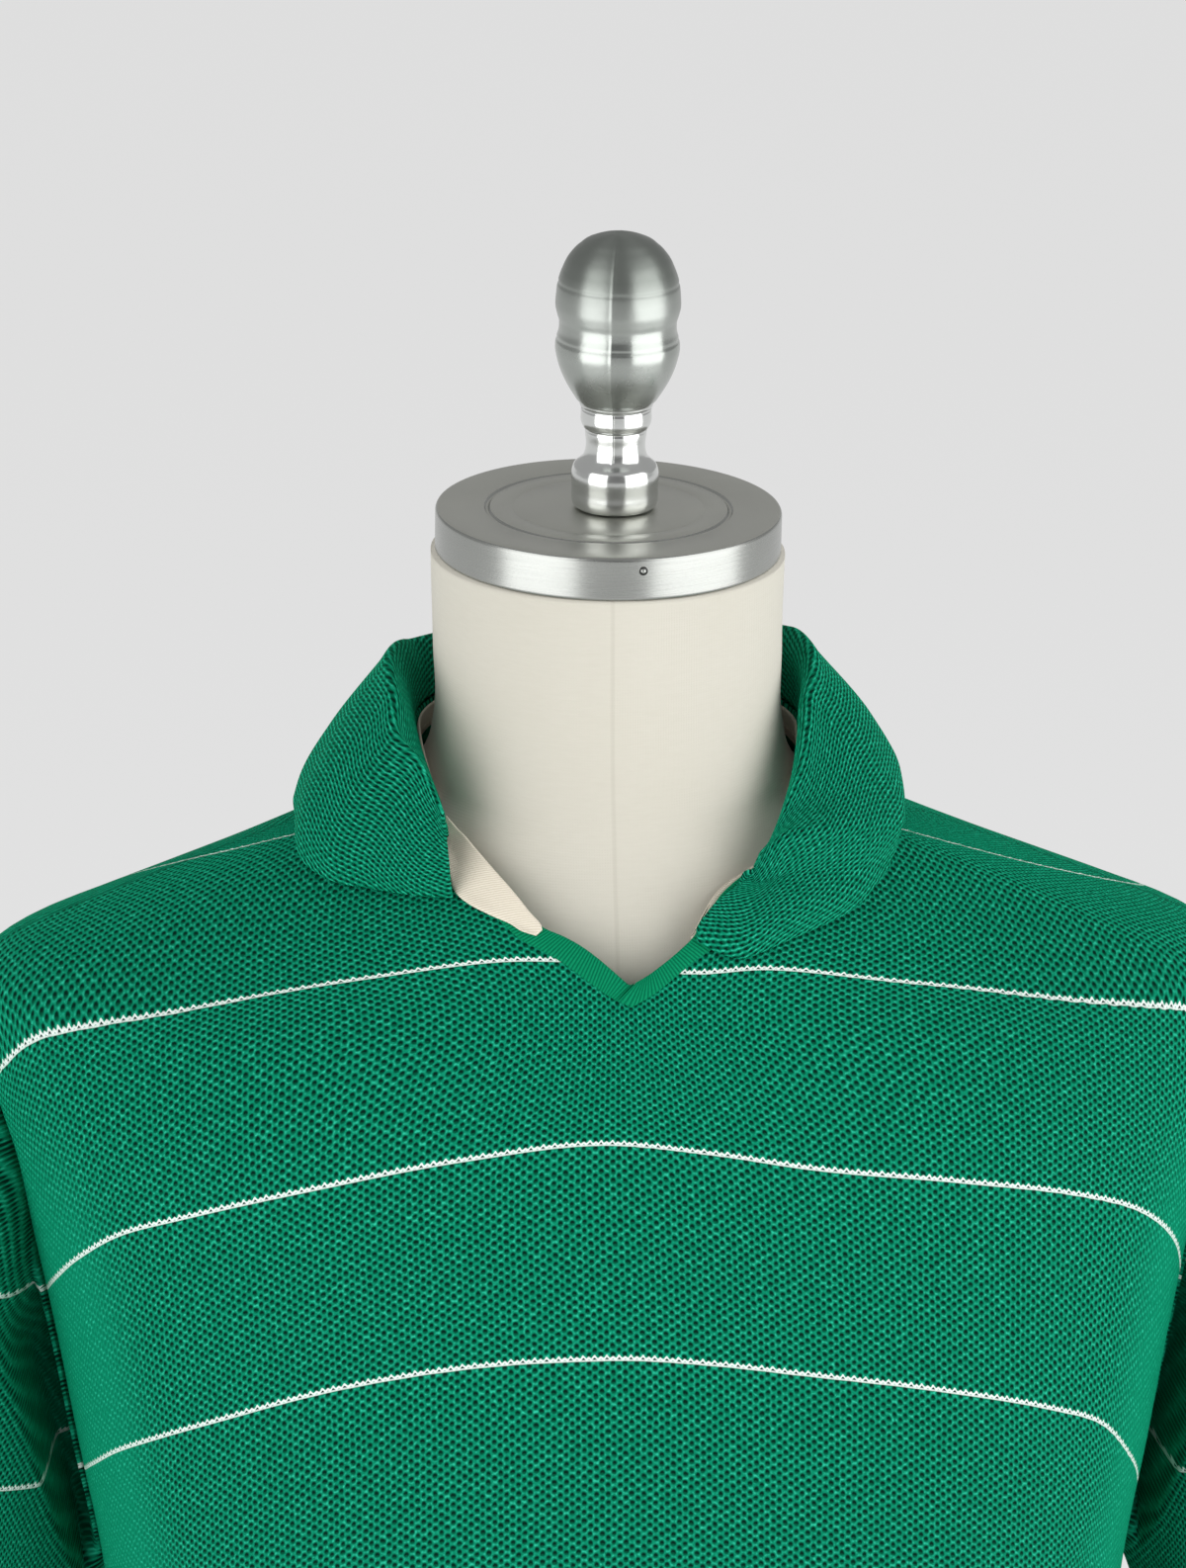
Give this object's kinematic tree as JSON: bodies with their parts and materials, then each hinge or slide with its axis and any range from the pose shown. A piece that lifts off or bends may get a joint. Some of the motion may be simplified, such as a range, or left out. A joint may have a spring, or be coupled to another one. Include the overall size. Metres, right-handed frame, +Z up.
{
  "type": "polo shirt on dress form",
  "caption": "Short-sleeved polo shirt in open-mesh knit with thin horizontal stripes, open V neck and turned-down collar, worn on a limbless tailor's dress form with a knob on its neck cap.",
  "frame": {"origin": "middle of the bounding box at the flat underside of the form", "axes": "+Z up along the form, front of the shirt to -Y, the wearer's left to +X"},
  "size_m": [0.7324, 0.2486, 0.8739],
  "materials": {
    "mesh_knit": "open-mesh cotton knit with thin off-white stripes",
    "rib_band": "fine rib knit",
    "cream_tape": "plain cotton facing and tape",
    "linen": "tight linen cover",
    "metal": "brushed cap, polished turned knob"
  },
  "bodies": {
    "root": {"form_body": "linen", "form_cap": "metal", "form_finial": "metal", "shirt_front": "mesh_knit", "shirt_back": "mesh_knit", "sleeve_right": "mesh_knit", "sleeve_left": "mesh_knit", "collar": "mesh_knit", "facing_right": "cream_tape", "facing_left": "cream_tape", "neck_tape": "cream_tape", "v_band_right": "rib_band", "v_band_left": "rib_band"}
  },
  "joints": []
}
